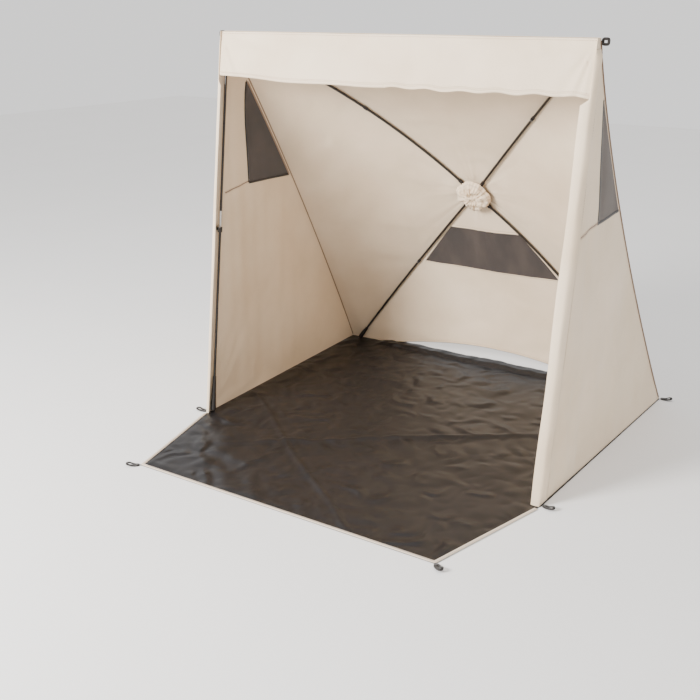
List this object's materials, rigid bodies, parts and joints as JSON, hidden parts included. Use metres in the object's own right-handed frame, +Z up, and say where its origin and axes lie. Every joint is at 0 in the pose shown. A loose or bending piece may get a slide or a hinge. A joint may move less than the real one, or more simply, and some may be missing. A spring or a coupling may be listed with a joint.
{
  "type": "pop-up sun shelter",
  "caption": "Open-fronted pop-up shelter with a bowed hub frame, jointed front legs, mesh windows and a floor sheet that runs on as a porch.",
  "frame": {"origin": "on the floor, midway between the feet of the two front legs", "axes": "+X to the right along the open front, seen from outside the front; +Y from the open front to the back; +Z up"},
  "size_m": [2.129, 2.2108, 1.9058],
  "materials": {
    "floor_sheet": "matt coated woven",
    "binding": "woven tape",
    "webbing": "woven webbing",
    "canopy": "plain weave",
    "mesh": "fine net",
    "rod": "pultruded fibreglass, smooth",
    "moulding": "fine grain",
    "ferrule": "bright drawn",
    "steel": "satin"
  },
  "bodies": {
    "floor": {"ground_sheet": "floor_sheet", "porch_binding": "binding", "stake_loops": "webbing"},
    "hub": {"hub_body": "moulding", "hub_lid": "moulding", "hub_pins": "steel", "hub_screws": "steel", "hub_cap": "canopy", "pull_strap": "webbing"},
    "upper_left_rod": {"upper_left_rod": "rod", "upper_left_eye": "moulding", "upper_left_tie": "webbing", "left_corner_joint": "moulding", "top_panel_left": "canopy", "left_panel_upper": "canopy", "valance_left": "canopy", "left_guy_tab": "webbing"},
    "lower_left_rod": {"lower_left_rod": "rod", "lower_left_eye": "moulding", "lower_left_tie": "webbing", "lower_left_boot": "moulding", "left_panel_lower": "canopy", "bottom_panel_left": "canopy", "mesh_left": "mesh"},
    "left_leg": {"left_upper_pole": "rod", "left_leg_fork": "moulding", "left_leg_rivets": "steel", "left_ferrule": "ferrule", "left_wall": "canopy", "left_window": "mesh", "left_leg_sleeve": "canopy"},
    "left_lower_leg": {"left_lower_pole": "rod", "left_collar": "moulding", "left_leg_boot": "moulding"},
    "upper_right_rod": {"upper_right_rod": "rod", "upper_right_eye": "moulding", "upper_right_tie": "webbing", "right_corner_joint": "moulding", "top_panel_right": "canopy", "right_panel_upper": "canopy", "valance_right": "canopy", "right_guy_tab": "webbing"},
    "lower_right_rod": {"lower_right_rod": "rod", "lower_right_eye": "moulding", "lower_right_tie": "webbing", "lower_right_boot": "moulding", "right_panel_lower": "canopy", "bottom_panel_right": "canopy", "mesh_right": "mesh"},
    "right_leg": {"right_upper_pole": "rod", "right_leg_fork": "moulding", "right_leg_rivets": "steel", "right_ferrule": "ferrule", "right_wall": "canopy", "right_window": "mesh", "right_leg_sleeve": "canopy"},
    "right_lower_leg": {"right_lower_pole": "rod", "right_collar": "moulding", "right_leg_boot": "moulding"}
  },
  "joints": [
    {"name": "lower_left_foot_turn", "type": "hinge", "parent": "floor", "child": "lower_left_rod", "pos_m": [-0.916, 1.44, 0.0154], "axis": [0.5726, 0.217, -0.7906], "range_deg": [0, 73.55], "deforming": ["ground_sheet", "porch_binding", "stake_loops", "left_panel_lower", "bottom_panel_left", "mesh_left"]},
    {"name": "hub_fold", "type": "hinge", "parent": "lower_left_rod", "child": "hub", "pos_m": [-0.03406, 1.15024, 1.03856], "axis": [-0.7557, -0.3538, 0.5512], "range_deg": [0, 97], "deforming": ["hub_cap"]},
    {"name": "upper_left_fold", "type": "hinge", "parent": "hub", "child": "upper_left_rod", "pos_m": [-0.03235, 1.10702, 1.10589], "axis": [-0.7829, 0.3361, -0.5235], "range_deg": [0, 97.05], "deforming": ["top_panel_left", "left_panel_upper", "valance_left"]},
    {"name": "upper_right_fold", "type": "hinge", "parent": "hub", "child": "upper_right_rod", "pos_m": [0.03235, 1.10702, 1.10589], "axis": [-0.7829, -0.3361, 0.5235], "range_deg": [0, 97.05], "deforming": ["top_panel_right", "right_panel_upper", "valance_right"]},
    {"name": "lower_right_fold", "type": "hinge", "parent": "hub", "child": "lower_right_rod", "pos_m": [0.03406, 1.15024, 1.03856], "axis": [0.7557, -0.3538, 0.5512], "range_deg": [0, 97.05], "deforming": ["right_panel_lower", "bottom_panel_right", "mesh_right"]},
    {"name": "left_leg_fold", "type": "hinge", "parent": "upper_left_rod", "child": "left_leg", "pos_m": [-0.92529, 0.24526, 1.86381], "axis": [0.7329, -0.6738, 0.0936], "range_deg": [0, 57.05], "deforming": ["left_wall", "left_window", "left_leg_sleeve"]},
    {"name": "right_leg_fold", "type": "hinge", "parent": "upper_right_rod", "child": "right_leg", "pos_m": [0.92529, 0.24526, 1.86381], "axis": [0.7329, 0.6738, -0.0936], "range_deg": [0, 57.05], "deforming": ["right_wall", "right_window", "right_leg_sleeve"]},
    {"name": "left_elbow", "type": "hinge", "parent": "left_leg", "child": "left_lower_leg", "pos_m": [-0.9203, 0.11324, 0.96841], "axis": [-1, 0, -0.0056], "range_deg": [0, 165]},
    {"name": "right_elbow", "type": "hinge", "parent": "right_leg", "child": "right_lower_leg", "pos_m": [0.9203, 0.11324, 0.96841], "axis": [-1, 0, 0.0056], "range_deg": [0, 165]}
  ],
  "couplings": [
    {"joint": "lower_left_foot_turn", "follows": "hub_fold", "ratio": 0.75775},
    {"joint": "upper_left_fold", "follows": "hub_fold", "ratio": 1},
    {"joint": "upper_right_fold", "follows": "hub_fold", "ratio": 1},
    {"joint": "lower_right_fold", "follows": "hub_fold", "ratio": 1},
    {"joint": "left_leg_fold", "follows": "hub_fold", "ratio": 0.58763},
    {"joint": "right_leg_fold", "follows": "hub_fold", "ratio": 0.58763}
  ]
}
